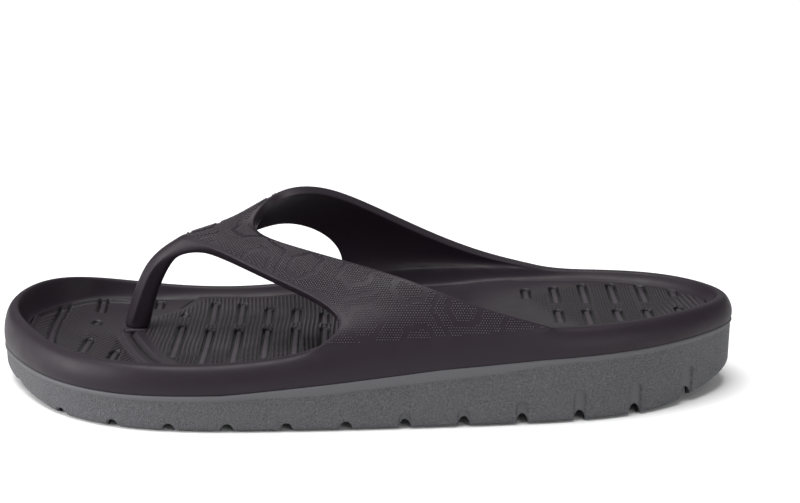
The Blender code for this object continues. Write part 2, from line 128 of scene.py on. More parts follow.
# ---------------------------------------------------------------------------------------------
# Outsole. One block of blown rubber compound, pressed in a mould whose cavity is spark-eroded to
# a pebbled grain. A smooth lip runs round its top, where the black moulding is bonded on.
# Sizes are in millimetres, with the toe at -X and the outer side of the foot at -Y.
# The smooth lip and the flute floors are painted lighter, a painted highlight. Elsewhere the
# pebbled tone varies at random.
# ---------------------------------------------------------------------------------------------
MM = 0.001
MIDDLE = np.array((1.717, 0.352, 0.0))   # from the last's own origin to the middle of the shoe

# Plan outline from the toe round the outer side to the heel and back: x, y, seam, rim height.
OUTLINE = (
    (-149.0, 10.0, 14.6, 29.0),
    (-138.5, -13.5, 14.2, 26.6),
    (-118.5, -36.5, 14.0, 24.2),
    (-89.0, -51.5, 13.9, 23.8),
    (-52.0, -55.0, 14.6, 24.4),
    (-12.0, -53.5, 18.6, 29.0),
    (28.0, -50.5, 23.0, 33.2),
    (64.0, -47.0, 25.4, 34.9),
    (98.0, -39.8, 26.4, 35.2),
    (127.0, -23.5, 26.8, 35.4),
    (146.0, 1.0, 27.2, 35.2),
    (134.0, 24.5, 26.8, 35.2),
    (105.0, 38.5, 26.4, 34.8),
    (70.0, 43.5, 25.4, 33.8),
    (30.0, 46.0, 23.2, 33.4),
    (-10.0, 50.0, 18.6, 29.0),
    (-50.0, 54.0, 14.6, 23.2),
    (-90.0, 53.5, 13.9, 24.2),
    (-122.0, 48.0, 14.0, 29.0),
    (-141.0, 33.5, 14.4, 31.4),
)
STATIONS = 52                            # of the coarse form that each moulding is rounded from
TOE_LIFT = (-116.0, 32.0, 5.0, 1.4)      # start, run, rise, power
HEEL_LIFT = (106.0, 40.0, 8.0, 1.6)
GROOVES = [-137.5 + 21.7 * i for i in range(13)]
OUTLINE_FINE = 5200                      # points of the outline that the side walls are read from
WALL_BACK = 0.55                         # how far the pebbled wall stands inside the outline
EDGE_ROUND = (3.2, 3.0)                  # height and depth of the rounded lower edge
LIP_PROUD = 0.45                         # how far the smooth lip stands out from the wall
SEAM_ROUND = 0.5                         # turns the lip in a little at the seam
TREAD_RUNGS = 19
TIP_COLUMNS = 26
TIP_RUN = 9.0                            # length of each tip that has its own close columns
GROOVE_HALF = 2.4
GROOVE_HIGH = ((-150, 2.8), (-60, 3.2), (0, 3.7), (60, 4.4), (150, 4.6))
FLUTE_TOP = ((-150, 3.0), (-10, 3.6), (13, 6.0), (35, 7.0), (57, 9.0), (79, 12.5), (150, 13.5))
FLUTE_DEEP = 1.4
FLUTE_HALF = 2.5
LIP_HIGH = ((-150, 1.2), (-110, 1.4), (-50, 1.8), (-15, 3.4), (35, 3.6), (80, 1.6), (150, 1.2))


def closed_spline(points, count):
    """Evenly spaced points on the smooth closed curve through the given ones."""
    points = np.array(points, float)
    size = len(points)
    ahead = np.roll(points, -1, axis=0)
    span = np.linalg.norm((ahead - points)[:, :2], axis=1)
    before = np.roll(span, 1)
    matrix = np.zeros((size, size))
    right = np.zeros_like(points)
    slope = (ahead - points) / span[:, None]
    for i in range(size):
        matrix[i, (i - 1) % size] = before[i]
        matrix[i, i] = 2 * (before[i] + span[i])
        matrix[i, (i + 1) % size] = span[i]
        right[i] = 6 * (slope[i] - slope[i - 1])
    bend = np.linalg.solve(matrix, right)
    length = np.concatenate([[0], np.cumsum(span)])
    value = np.arange(count) * length[-1] / count
    i = np.minimum(np.searchsorted(length, value, side="right") - 1, size - 1)
    j = (i + 1) % size
    a = ((length[i + 1] - value) / span[i])[:, None]
    b = 1 - a
    stiff = ((a**3 - a) * bend[i] + (b**3 - b) * bend[j]) * span[i, None] ** 2 / 6
    return a * points[i] + b * points[j] + stiff


def soft_outline(count):
    """The outline as the mouldings end up, rounded a little from their coarse form."""
    cage = closed_spline(OUTLINE, STATIONS)
    value = np.arange(count) * STATIONS / count
    i = value.astype(int)
    t = (value - i)[:, None]
    shares = ((1 - t) ** 3, 3 * t**3 - 6 * t**2 + 4, -3 * t**3 + 3 * t**2 + 3 * t + 1, t**3)
    return sum(share * cage[(i + k - 1) % STATIONS] for k, share in enumerate(shares)) / 6


def inward(plan):
    """Unit directions in plan that point into the sole."""
    along = np.roll(plan, -1, axis=0)[:, :2] - np.roll(plan, 1, axis=0)[:, :2]
    along /= np.linalg.norm(along, axis=1)[:, None]
    return np.stack([-along[:, 1], along[:, 0]], axis=1)


def ring(plan, distance, height):
    """The outline moved inwards by a distance, at one height for each station."""
    flat = plan[:, :2] + inward(plan) * np.reshape(distance, (-1, 1))
    return np.column_stack([flat, np.broadcast_to(height, len(plan))])


def ramp(value, low, high):
    """Smooth step from 0 at low to 1 at high."""
    share = np.clip((value - low) / (high - low), 0, 1)
    return share * share * (3 - 2 * share)


def along_line(x, line):
    """Smooth reading of a short list of (x, value) pairs."""
    line = np.array(line, float)
    near = np.searchsorted(line[:, 0], x).clip(1, len(line) - 1)
    low, high = line[near - 1], line[near]
    return low[..., 1] + (high - low)[..., 1] * ramp(x, low[..., 0], high[..., 0])


def seam_height(x):
    """Height of the seam between the outsole and the black moulding."""
    half = np.array(OUTLINE[:11])
    return np.interp(x, half[:, 0], half[:, 2])


def tread_height(x):
    """Height of the tread, which curls up at the toe and the heel."""
    start, run, rise, power = TOE_LIFT
    toe = rise * np.clip((start - x) / run, 0, 2) ** power
    start, run, rise, power = HEEL_LIFT
    return toe + rise * np.clip((x - start) / run, 0, 2) ** power


def nearest_groove(x):
    """Distance along the sole to the nearest groove's middle."""
    return np.abs(np.subtract.outer(x, GROOVES)).min(axis=-1)


def tread_with_grooves(x):
    """Tread height with a round-topped channel at each groove."""
    share = np.clip(nearest_groove(x) / GROOVE_HALF, 0, 1)
    soft = np.sqrt(1 - share**2) * (1 - 0.25 * share**6)
    return tread_height(x) + along_line(x, GROOVE_HIGH) * soft


def half_outlines(columns):
    """Stations at the given x on the outer side and on the inner side, both from toe to heel."""
    fine = soft_outline(OUTLINE_FINE)
    toe, heel = fine[:, 0].argmin(), fine[:, 0].argmax()
    fine = np.roll(fine, -toe, axis=0)
    heel = (heel - toe) % len(fine)
    outer = fine[: heel + 1]
    inner = np.vstack([fine[heel:], fine[:1]])[::-1]
    x = fine[0, 0] + (fine[heel, 0] - fine[0, 0]) * columns
    return [
        np.column_stack([x] + [np.interp(x, side[:, 0], side[:, k]) for k in (1, 2, 3)])
        for side in (outer, inner)
    ]


def grid_faces(rows, columns, closed=False):
    """Quads between neighbouring rows of points that are numbered row by row."""
    index = np.arange(rows * columns).reshape(rows, columns)
    if closed:
        index = np.column_stack([index, index[:, 0]])
    corners = (index[:-1, :-1], index[:-1, 1:], index[1:, 1:], index[1:, :-1])
    return np.stack(corners, axis=-1).reshape(-1, 4)


def build(name, sheets, values):
    """One closed smooth object from sheets given as (points, faces), with a value a point of grain
    and painted shading.
    """
    points = np.vstack([sheet for sheet, _ in sheets])
    starts = np.cumsum([0] + [len(sheet) for sheet, _ in sheets])
    faces = np.vstack([quads + start for (_, quads), start in zip(sheets, starts)])
    mesh = bpy.data.meshes.new(name)
    mesh.from_pydata((points + MIDDLE) * MM, [], faces.tolist())
    layer = mesh.attributes.new("grain_and_painted_shading", "FLOAT", "POINT")
    layer.data.foreach_set("value", np.concatenate(values).astype(np.float32))
    shape = bmesh.new()
    shape.from_mesh(mesh)
    bmesh.ops.remove_doubles(shape, verts=shape.verts, dist=0.000002)
    bmesh.ops.dissolve_degenerate(shape, edges=shape.edges, dist=0.0000005)
    bmesh.ops.recalc_face_normals(shape, faces=shape.faces)
    shape.to_mesh(mesh)
    shape.free()
    mesh.shade_smooth()
    obj = bpy.data.objects.new(name, mesh)
    scene.collection.objects.link(obj)
    return obj


def outsole_columns():
    """Shares of the length for the stations: close together at the grooves and round both tips."""
    tips = soft_outline(OUTLINE_FINE)[:, 0]
    start, length = tips.min(), np.ptp(tips)
    tip = np.linspace(0, 1, TIP_COLUMNS) ** 2 * TIP_RUN / length
    offsets = GROOVE_HALF * np.array((0.0, 0.3, 0.55, 0.75, 0.88, 0.96, 1.0, 1.06, 1.2, 1.4))
    places = [g + side * d for g in GROOVES for d in offsets for side in (-1, 1)]
    places += list(np.arange(start + TIP_RUN + 0.5, start + length - TIP_RUN + 0.5, 1.25))
    shares = np.sort((np.array(places) - start) / length)
    shares = shares[(shares > tip[-1]) & (shares < 1 - tip[-1])]
    apart = np.concatenate([[True], np.diff(shares) > 0.05 / length])
    return np.concatenate([tip, shares[apart], 1 - tip[::-1]])


def outsole_wall(plan):
    """Rows of the wall from its rounded lower edge to the seam, and each point's grain. The grain
    is 0 on the smooth lip and the flute floors, which are painted lighter as a painted highlight.
    """
    x = plan[:, 0]
    tread, low, seam = tread_height(x), tread_with_grooves(x), seam_height(x)
    lip = seam - along_line(x, LIP_HIGH)
    flute = np.sqrt(np.clip(1 - (nearest_groove(x) / FLUTE_HALF) ** 2, 0, 1))
    flute_top = tread + along_line(x, FLUTE_TOP) - FLUTE_HALF * (1 - flute)
    rows, grain_and_painted_shading = [], []
    for share in np.concatenate([np.linspace(0, 0.12, 5), np.linspace(0.16, 1, 27)]):
        z = low + share * (seam - low)
        round_off = np.clip(1 - (z - tread) / EDGE_ROUND[0], 0, 1)
        inset = WALL_BACK + EDGE_ROUND[1] * (1 - np.sqrt(1 - round_off**2))
        inset = inset - LIP_PROUD * ramp(z, lip - 0.35, lip + 0.25)
        inset = inset + SEAM_ROUND * ramp(z, seam - 0.5, seam + 0.3)
        hollow = flute * ramp(flute_top - z, -0.5, 0.7)
        rows.append(ring(plan, inset + FLUTE_DEEP * hollow, z))
        # Grain is 0 on the lip and in the flutes. The material paints those places lighter, a
        # painted highlight.
        grain_and_painted_shading.append((1 - ramp(z, lip - 0.8, lip)) * (1 - ramp(hollow, 0.55, 0.8)))
    return np.array(rows), np.array(grain_and_painted_shading)


def outsole_tread(outer, inner, columns):
    """Rungs across the tread between the lower edges of the two sides."""
    share = np.linspace(0, 1, columns)
    share = share[None, :, None]
    rungs = outer[:, None] * (1 - share) + inner[:, None] * share
    x, y = rungs[..., 0], rungs[..., 1]
    edge = np.minimum(share[..., 0], 1 - share[..., 0]) * np.abs(inner - outer)[:, 1:2]
    centre = tread_with_grooves(x)
    rungs[..., 2] = np.where(edge < 1e-6, rungs[..., 2], centre)
    return rungs


outer_side, inner_side = half_outlines(outsole_columns())
station_count = len(outer_side)
sole_plan = np.vstack([outer_side, inner_side[-2:0:-1]])
wall, wall_grain_and_highlight = outsole_wall(sole_plan)
low_edge, top_edge = wall[0], wall[-1]


def sides_of(edge):
    """Splits a ring into its outer and inner halves, both from toe to heel."""
    outer = edge[:station_count]
    inner = np.vstack([edge[:1], edge[station_count:][::-1], outer[-1:]])
    return outer, inner


tread = outsole_tread(*sides_of(low_edge), TREAD_RUNGS)
top_outer, top_inner = sides_of(top_edge)
lid = np.stack([top_outer, (top_outer + top_inner) / 2, top_inner], axis=1)
outsole = build(
    "outsole_block",
    [
        (wall.reshape(-1, 3), grid_faces(len(wall), len(sole_plan), closed=True)),
        (tread.reshape(-1, 3), grid_faces(station_count, TREAD_RUNGS)),
        (lid.reshape(-1, 3), grid_faces(station_count, 3)),
    ],
    [wall_grain_and_highlight.ravel(), np.ones(station_count * TREAD_RUNGS), np.zeros(station_count * 3)],
)


def new_material(name, roughness, specular):
    """A material with its shader's plain values set, and short ways to add and join its nodes."""
    material = bpy.data.materials.new(name)
    material.use_nodes = True
    shader = material.node_tree.nodes["Principled BSDF"]
    shader.inputs["Roughness"].default_value = roughness
    shader.inputs["Specular IOR Level"].default_value = specular
    return material, shader


def add_node(material, kind, **values):
    """A node of that kind with its sockets set, named as in the node's own panel."""
    node = material.node_tree.nodes.new("ShaderNode" + kind)
    for name, value in values.items():
        node.inputs[name.replace("_", " ")].default_value = value
    return node


def join(material, start, end):
    material.node_tree.links.new(start, end)


def noise(material, scale, detail=2.0):
    """Noise in the object's own metres."""
    place = add_node(material, "TexCoord")
    texture = add_node(material, "TexNoise", Scale=scale, Detail=detail)
    join(material, place.outputs["Object"], texture.inputs["Vector"])
    return texture.outputs["Fac"]


def spread(material, source, low, high):
    """Maps 0.3 to 0.7 of a noise to a range of values."""
    node = add_node(material, "MapRange")
    node.inputs["From Min"].default_value = 0.3
    node.inputs["From Max"].default_value = 0.7
    node.inputs["To Min"].default_value = low
    node.inputs["To Max"].default_value = high
    join(material, source, node.inputs["Value"])
    return node.outputs["Result"]


def two_tone(material, factor, dark, light):
    """A colour between two tones."""
    mix = material.node_tree.nodes.new("ShaderNodeMix")
    mix.data_type = "RGBA"
    mix.inputs["A"].default_value = (*dark, 1)
    mix.inputs["B"].default_value = (*light, 1)
    join(material, factor, mix.inputs["Factor"])
    return mix.outputs["Result"]


def bumps(material, shader, layers):
    """Stacks bumps, each given as (height socket, distance in metres, strength value or socket)."""
    last = None
    for height, distance, strength in layers:
        bump = add_node(material, "Bump", Distance=distance)
        join(material, height, bump.inputs["Height"])
        if isinstance(strength, float):
            bump.inputs["Strength"].default_value = strength
        else:
            join(material, strength, bump.inputs["Strength"])
        if last:
            join(material, last.outputs["Normal"], bump.inputs["Normal"])
        last = bump
    join(material, last.outputs["Normal"], shader.inputs["Normal"])


PEBBLE_SCALE = 1650
PEBBLE_DEEP = 0.0006
RUBBER_DARK = (0.046, 0.046, 0.052)
RUBBER_LIGHT = (0.092, 0.092, 0.100)

rubber, rubber_shader = new_material("grey_rubber", 0.62, 0.35)
pebble = noise(rubber, PEBBLE_SCALE, 1.0)
grain_and_highlight_mask = add_node(rubber, "Attribute")
grain_and_highlight_mask.attribute_name = "grain_and_painted_shading"
join(rubber, spread(rubber, noise(rubber, 60, 3.0), 0.56, 0.68), rubber_shader.inputs["Roughness"])
# Painted highlight: where there is no grain, on the smooth lip and the flute floors, the rubber is
# painted at the light end of its tone.
painted_lip_highlight = add_node(rubber, "MapRange")
painted_lip_highlight.inputs["To Min"].default_value = 0.8
painted_lip_highlight.inputs["To Max"].default_value = 0.0
join(rubber, grain_and_highlight_mask.outputs["Fac"], painted_lip_highlight.inputs["Value"])
pebble_tone_and_lip_highlight = add_node(rubber, "Math")
pebble_tone_and_lip_highlight.operation = "MAXIMUM"
join(rubber, spread(rubber, pebble, 0.0, 1.0), pebble_tone_and_lip_highlight.inputs[0])
join(rubber, painted_lip_highlight.outputs["Result"], pebble_tone_and_lip_highlight.inputs[1])
join(
    rubber,
    two_tone(rubber, pebble_tone_and_lip_highlight.outputs["Value"], RUBBER_DARK, RUBBER_LIGHT),
    rubber_shader.inputs["Base Color"],
)
bumps(rubber, rubber_shader, [(pebble, PEBBLE_DEEP, grain_and_highlight_mask.outputs["Fac"])])
outsole.data.materials.append(rubber)
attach(outsole, "root")
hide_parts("outsole")

# ---------------------------------------------------------------------------------------------
# Upper. One injection-moulded piece of black foam: the wall round the foot, the wide strap that
# grows out of both sides of it and the post that goes down between the toes. A satin skin forms
# against the polished mould.
# ---------------------------------------------------------------------------------------------
WALL_EDGE = 0.6
WALL_INSET = ((0.0, 0.18), (0.3, 0.52), (1.5, 0.84))
CREST_INSET = (3.4, 6.4)
CREST_RISE = 1                           # over the rim, as the rounding lowers it
COVE_INSET = (8.0, 9.6)
SEAT_INSET = 10.6
FLOOR_LINE = (
    (-150.0, 23.0),
    (-125.0, 19.2),
    (-95.0, 17.2),
    (-55.0, 17.6),
    (-20.0, 20.6),
    (20.0, 26.2),
    (60.0, 30.0),
    (100.0, 31.2),
    (150.0, 32.4),
)
DISH_RISE = ((-150.0, 5.0), (-120.0, 4.5), (-90.0, 2.5), (-40.0, 1.8), (150.0, 1.6))
FLOOR_HALF_WIDTH = 42.0

# Front and rear edges of the strap's outer face, from the outer side over to the inner side.
STRAP_FRONT = (
    (-12.0, -49.6, 35.3),
    (-7.5, -45.0, 41.0),
    (-18.0, -34.5, 45.5),
    (-33.0, -23.0, 48.5),
    (-48.0, -11.0, 52.0),
    (-63.0, -1.0, 56.6),
    (-79.4, 6.5, 59.2),
    (-64.0, 13.5, 56.8),
    (-52.0, 21.0, 57.9),
    (-39.5, 31.0, 61.3),
    (-26.4, 40.0, 57.4),
    (-15.0, 46.5, 48.5),
    (-10.5, 50.0, 36.0),
)
STRAP_REAR = (
    (66.0, -44.3, 38.4),
    (41.0, -43.5, 44.6),
    (18.0, -39.0, 53.6),
    (-3.0, -26.5, 56.2),
    (-24.0, -11.5, 57.8),
    (-40.0, 0.0, 59.2),
    (-46.8, 8.5, 61.6),
    (-44.4, 14.5, 67.2),
    (-36.0, 20.5, 74.8),
    (-19.5, 29.5, 74.0),
    (0.0, 37.5, 63.8),
    (24.0, 42.5, 50.5),
    (50.0, 43.0, 40.0),
)
STRAP_ACROSS = 7
STRAP_THICK = 4.6
STRAP_CROWN = 1.6
STRAP_BASE_X = (-20.0, 92.0)
EDGE_CREASE = 0.5                        # of the strap, from round, 0, to sharp, 1
REAR_CREASE = 0.8                        # of its outer rear edge
RIM_CREASE = 0.35
POST_FOOT = (-94.5, 12.0)
POST_RINGS = (
    ((-80.6, 8.6, 51.0), 4.6, 4.8),
    ((-87.2, 10.3, 40.5), 4.4, 4.2),
    ((-91.6, 11.5, 29.0), 4.5, 4.2),
)
POST_FOOT_HALF = (4.9, 4.5)
POST_RIDGE = 1.2
POST_CORNER = 2.6                        # its outer front corner is set back by this much
COLLAR_RADIUS = 6.2
COLLAR_HEIGHT = 1.5
COLLAR_CLEAR = 0.5

cage_plan = closed_spline(OUTLINE, STATIONS)


def floor_height(x, y):
    """Height of the footbed before its pattern."""
    centre = np.interp(x, (-95.0, 0.0, 100.0), (4.0, -1.0, -1.0))
    rise = np.interp(x, *np.transpose(DISH_RISE))
    return along_line(x, FLOOR_LINE) + rise * ((y - centre) / FLOOR_HALF_WIDTH) ** 2


def base_stations(side):
    """The stations under one end of the strap, front to rear."""
    half = STATIONS // 2
    found = range(1, half) if side < 0 else range(half + 1, STATIONS)
    first = min(found, key=lambda i: abs(cage_plan[i, 0] - STRAP_BASE_X[0]))
    step = 1 if side < 0 else -1
    return [(first + step * i) % STATIONS for i in range(STRAP_ACROSS + 1)]


def wall_rows():
    """Rings of the wall: up its outside, over the rim and down its inside to the seam.

    They stand wider and higher under the ends of the strap.
    """
    seam, rim = seam_height(cage_plan[:, 0]), cage_plan[:, 3]
    under = np.zeros(STATIONS)
    for side in (-1, 1):
        for order, i in enumerate(base_stations(side)):
            under[i] = min(1, (order + 1) / 2, (STRAP_ACROSS + 1 - order) / 2)
    rows = [ring(cage_plan, WALL_EDGE, seam)]
    for distance, share in WALL_INSET:
        rows.append(ring(cage_plan, distance * (1 - 0.5 * under), seam + share * (rim - seam)))
    outer, inner = CREST_INSET
    crest = rim + CREST_RISE + under
    rows.append(ring(cage_plan, outer - 1.4 * under, crest))
    rows.append(ring(cage_plan, inner + 1.2 * under, crest))
    foot = ring(cage_plan, SEAT_INSET, 0)
    floor = floor_height(foot[:, 0], foot[:, 1])
    rows.append(ring(cage_plan, COVE_INSET[0] + 0.6 * under, floor + 0.5 * (rim - floor)))
    rows.append(ring(cage_plan, COVE_INSET[1], floor + 0.5))
    rows.append(ring(cage_plan, SEAT_INSET, floor))
    rows.append(ring(cage_plan, SEAT_INSET, seam_height(foot[:, 0])))
    return rows


def strap_grid():
    """Outer and inner points of the strap, one row for each pair of edge points."""
    front, rear = np.array(STRAP_FRONT), np.array(STRAP_REAR)
    share = np.linspace(0, 1, STRAP_ACROSS + 1)[None, :, None]
    outer = front[:, None] * (1 - share) + rear[:, None] * share
    normal = np.cross(np.gradient(outer, axis=0), np.gradient(outer, axis=1))
    normal /= np.linalg.norm(normal, axis=2)[..., None]
    normal *= np.sign(normal[len(front) // 2, STRAP_ACROSS // 2, 2])
    outer = outer + normal * STRAP_CROWN * (4 * share * (1 - share))
    return outer, outer - normal * STRAP_THICK


def soften(cage, edges, amount):
    """Holds edges of the cage between sharp (1) and round (0) as it is smoothed."""
    layer = cage.edges.layers.float.get("crease_edge") or cage.edges.layers.float.new("crease_edge")
    for a, b in edges:
        cage.edges.get((a, b))[layer] = amount


def add_post(cage, nose):
    """Draws the post down from the strap's nose, flat on its outer side with a firm front edge."""
    outer, inner = nose
    loop = outer + inner[::-1]
    seat = collar_seat()
    rings = [*POST_RINGS, ((*POST_FOOT, seat + COLLAR_HEIGHT), *POST_FOOT_HALF)]
    for (x, y, z), half_x, half_y in rings:
        ridge = [(-half_x + POST_CORNER, -half_y), (-half_x - POST_RIDGE, 0), (-half_x, half_y)]
        back = [(half_x, half_y), (half_x, 0), (half_x, -half_y)]
        points = [cage.verts.new((x + dx, y + dy, z)) for dx, dy in ridge + back]
        for i in range(6):
            j = (i + 1) % 6
            cage.faces.new((loop[i], loop[j], points[j], points[i]))
        if loop[0] not in outer:
            soften(cage, [(loop[0], points[0])], 1.0)
            soften(cage, [(loop[5], points[5]), (loop[1], points[1])], 0.3)
        loop = points
    end = [cage.verts.new((v.co.x, v.co.y, seat + COLLAR_HEIGHT / 3)) for v in loop]
    for i in range(6):
        j = (i + 1) % 6
        cage.faces.new((loop[i], loop[j], end[j], end[i]))
    cage.faces.new((end[0], end[1], end[4], end[5]))
    cage.faces.new((end[1], end[2], end[3], end[4]))


def collar_seat():
    """Height of the collar's underside, just clear of the dished footbed all round."""
    turn = np.linspace(0, 2 * math.pi, 24)
    x = POST_FOOT[0] + COLLAR_RADIUS * np.cos(turn)
    y = POST_FOOT[1] + COLLAR_RADIUS * np.sin(turn)
    return float(floor_height(x, y).max()) + COLLAR_CLEAR


def close_loop(row):
    return list(zip(row, row[1:] + row[:1]))


def make_upper_cage():
    """The coarse cage of wall, strap and post.

    Its points carry how far along and across the strap they are, which the grip pattern reads.
    """
    cage = bmesh.new()
    along = cage.verts.layers.float.new("along")
    across = cage.verts.layers.float.new("across")
    outside = cage.faces.layers.int.new("outside")
    rows = [[cage.verts.new(point) for point in row] for row in wall_rows()]
    for low, high in close_loop(rows):
        for (a, b), (c, d) in zip(close_loop(low), close_loop(high)):
            cage.faces.new((a, b, d, c))
    outer_points, inner_points = strap_grid()
    outer = [[cage.verts.new(p) for p in row] for row in outer_points]
    inner = [[cage.verts.new(p) for p in row] for row in inner_points]
    for side in (-1, 1):
        base = base_stations(side)
        for a, b in zip(base, base[1:]):
            quad = {rows[4][a], rows[4][b], rows[5][a], rows[5][b]}
            shared = [f for f in rows[4][a].link_faces if set(f.verts) == quad]
            bmesh.ops.delete(cage, geom=shared, context="FACES_ONLY")
        place = 0 if side < 0 else len(outer)
        outer.insert(place, [rows[4][i] for i in base])
        inner.insert(place, [rows[5][i] for i in base])
    middle = len(outer) // 2
    for r in range(len(outer) - 1):
        for i in range(STRAP_ACROSS):
            (a, b), (c, d) = outer[r][i:i + 2], outer[r + 1][i:i + 2]
            cage.faces.new((a, b, d, c))[outside] = 1
            (a, b), (c, d) = inner[r][i:i + 2], inner[r + 1][i:i + 2]
            cage.faces.new((a, c, d, b))
        for i in (0, STRAP_ACROSS):
            if i == 0 and r in (middle - 1, middle):
                soften(cage, [(outer[r][i], outer[r + 1][i])], EDGE_CREASE)
                continue
            cage.faces.new((outer[r][i], outer[r + 1][i], inner[r + 1][i], inner[r][i]))
            crease = EDGE_CREASE if i == 0 else REAR_CREASE
            soften(cage, [(outer[r][i], outer[r + 1][i])], crease)
            soften(cage, [(inner[r][i], inner[r + 1][i])], EDGE_CREASE)
    for r, row in enumerate(outer):
        for i, vert in enumerate(row):
            vert[along] = r
            vert[across] = i / STRAP_ACROSS
    nose = range(middle - 1, middle + 2)
    add_post(cage, ([outer[r][0] for r in nose], [inner[r][0] for r in nose]))
    for row in (rows[0], rows[8], rows[9]):
        soften(cage, close_loop(row), 1.0)
    soften(cage, close_loop(rows[5]), RIM_CREASE)
    bmesh.ops.recalc_face_normals(cage, faces=cage.faces)
    bmesh.ops.translate(cage, vec=MIDDLE, verts=cage.verts)
    bmesh.ops.scale(cage, vec=(MM,) * 3, verts=cage.verts)
    return cage


upper = bpy.data.objects.new("upper_moulding", bpy.data.meshes.new("upper_cage"))
scene.collection.objects.link(upper)
upper_cage = make_upper_cage()
upper_cage.to_mesh(upper.data)
upper_cage.free()
upper.data.shade_smooth()
smooth = upper.modifiers.new("smooth", "SUBSURF")
smooth.levels = smooth.render_levels = 3
bpy.context.view_layer.update()
graph = bpy.context.evaluated_depsgraph_get()
finished = bpy.data.meshes.new_from_object(upper.evaluated_get(graph))
upper.modifiers.remove(smooth)
upper.data = finished
upper.data.shade_smooth()

FOAM_DARK = (0.0118, 0.0074, 0.0124)
FOAM_LIGHT = (0.0148, 0.0098, 0.0154)

black, black_shader = new_material("black_foam", 0.5, 0.22)
skin = noise(black, 2600, 2.0)
drift = noise(black, 22, 2.0)
join(black, two_tone(black, drift, FOAM_DARK, FOAM_LIGHT), black_shader.inputs["Base Color"])
join(black, spread(black, noise(black, 110, 3.0), 0.44, 0.54), black_shader.inputs["Roughness"])
bumps(black, black_shader, [(noise(black, 260, 2.0), 0.00006, 0.35), (skin, 0.00005, 0.5)])
upper.data.materials.append(black)
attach(upper, "root")
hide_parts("upper")

# ---------------------------------------------------------------------------------------------
# Collar of the post. The same foam, left as a low rounded lip where the post's plug was pulled
# down through the footbed and bonded under it.
# ---------------------------------------------------------------------------------------------
COLLAR_STEPS = 48
COLLAR_SECTION = ((6.0, -1.6), (6.1, 0.0), (6.0, 0.5), (5.7, 0.95), (5.2, 1.2), (4.2, 1.3))
COLLAR_SQUARE = 0.07                     # how far the corners are pushed out
COLLAR_NARROW = 0.92                     # width across the foot as a share of the length along it


def collar_rows():
    """Rings of the collar from its foot, sunk under the ribs, up to the post."""
    turn = np.arange(COLLAR_STEPS) * 2 * math.pi / COLLAR_STEPS
    push = 1 - COLLAR_SQUARE * np.cos(4 * turn)
    x, y = np.cos(turn) * push, np.sin(turn) * push * COLLAR_NARROW
    low = collar_seat() - COLLAR_CLEAR
    rows = []
    for radius, height in COLLAR_SECTION:
        level = np.full(COLLAR_STEPS, low + height)
        flat = (POST_FOOT[0] + radius * x, POST_FOOT[1] + radius * y)
        rows.append(np.column_stack([*flat, level]))
    return rows


collar_points = np.vstack(collar_rows())
collar_lid = collar_points[-COLLAR_STEPS:].reshape(2, -1, 3)
collar_base = collar_points[:COLLAR_STEPS].reshape(2, -1, 3)
collar_ends = [
    np.stack([half[0], half[1][::-1]], axis=1).reshape(-1, 3) for half in (collar_lid, collar_base)
]
collar = build(
    "post_collar",
    [
        (collar_points, grid_faces(len(COLLAR_SECTION), COLLAR_STEPS, closed=True)),
        (collar_ends[0], grid_faces(COLLAR_STEPS // 2, 2)),
        (collar_ends[1], grid_faces(COLLAR_STEPS // 2, 2)),
    ],
    [np.zeros(len(collar_points) + 2 * COLLAR_STEPS)],
)
collar.data.materials.append(black)
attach(collar, "root")

# ---------------------------------------------------------------------------------------------
# Grip pattern of the strap. The same foam, raised in fine beads by the mould: hexagonal patches
# with a smooth band round each, and fields of beads between them. Each bead is a small dome.
# The beads are coloured several times lighter than the foam they are moulded from. This is a
# painted highlight on their tops, with random tone over it.
# ---------------------------------------------------------------------------------------------
ARCH_AXIS = (0.0, 12.0)                  # y and height of the line that the strap arches round
ARCH_RADIUS = (52.0, 61.0)               # outer side and inner side
ARCH_OUTSIDE = 120                       # from the axis, well outside the strap
PATCH_PITCH = 21.4
PATCH_TURN = math.radians(8)
PATCH_START = (-0.6, 28.6)
PATCH_HALF = 5.0                         # from the middle of a patch to its flat sides
BAND_HALF = 6.9
SPLIT_HALF = 0.75
BEAD_PITCH = 0.98
BEAD_RADIUS = 0.38
BEAD_HIGH = 0.5
BEAD_SUNK = 0.12
SMALL_BEADS = (0.66, 38, 54)             # size at the wall, and the heights from small to full
BEAD_ROWS = 250
BEAD_COLUMNS = 172
FIELD_START = (-86, 12)                  # along the foot, and round the arch
STRAP_MARGIN = 2.3
LOWEST_BEADS = (33.6, 0.05)              # height at the strap's front, and rise to the heel


def has_bead(x, s):
    """True at the places that have a bead, and false on the smooth bands."""
    turn = PATCH_TURN + math.pi / 2
    sides = [(math.cos(turn + k * math.pi / 3), math.sin(turn + k * math.pi / 3)) for k in range(6)]
    step = PATCH_PITCH * np.array(sides[:2]).T
    place = np.stack([x - PATCH_START[0], s - PATCH_START[1]])
    cell = np.round(np.linalg.solve(step, place))
    reach, number = [], []
    for i in (-1, 0, 1):
        for j in (-1, 0, 1):
            near = cell + np.array([[i], [j]])
            off = place - step @ near
            reach.append(np.max([off[0] * a + off[1] * b for a, b in sides], axis=0))
            number.append(near[0] * 3 + near[1] * 5)
    order = np.argsort(reach, axis=0)
    nearest, after = (np.take_along_axis(np.array(reach), order[k:k + 1], 0)[0] for k in (0, 1))
    pair = sum(np.take_along_axis(np.array(number), order[k:k + 1], 0)[0] for k in (0, 1))
    band = (nearest > PATCH_HALF) & (nearest < BAND_HALF)
    split = (pair % 3 == 0) & (after - nearest < 2 * SPLIT_HALF)
    return ~(band | split)


strap_tree = BVHTree.FromPolygons(
    [v.co / MM - Vector(MIDDLE) for v in upper.data.vertices],
    [p.vertices[:] for p in upper.data.polygons],
)
along_values = upper.data.attributes["along"].data
across_values = upper.data.attributes["across"].data
outside_values = upper.data.attributes["outside"].data
base_width = STRAP_BASE_X[1] - STRAP_BASE_X[0]
strap_widths = [base_width]
strap_widths += [math.dist(a, b) for a, b in zip(STRAP_FRONT, STRAP_REAR)]
strap_widths += [base_width]


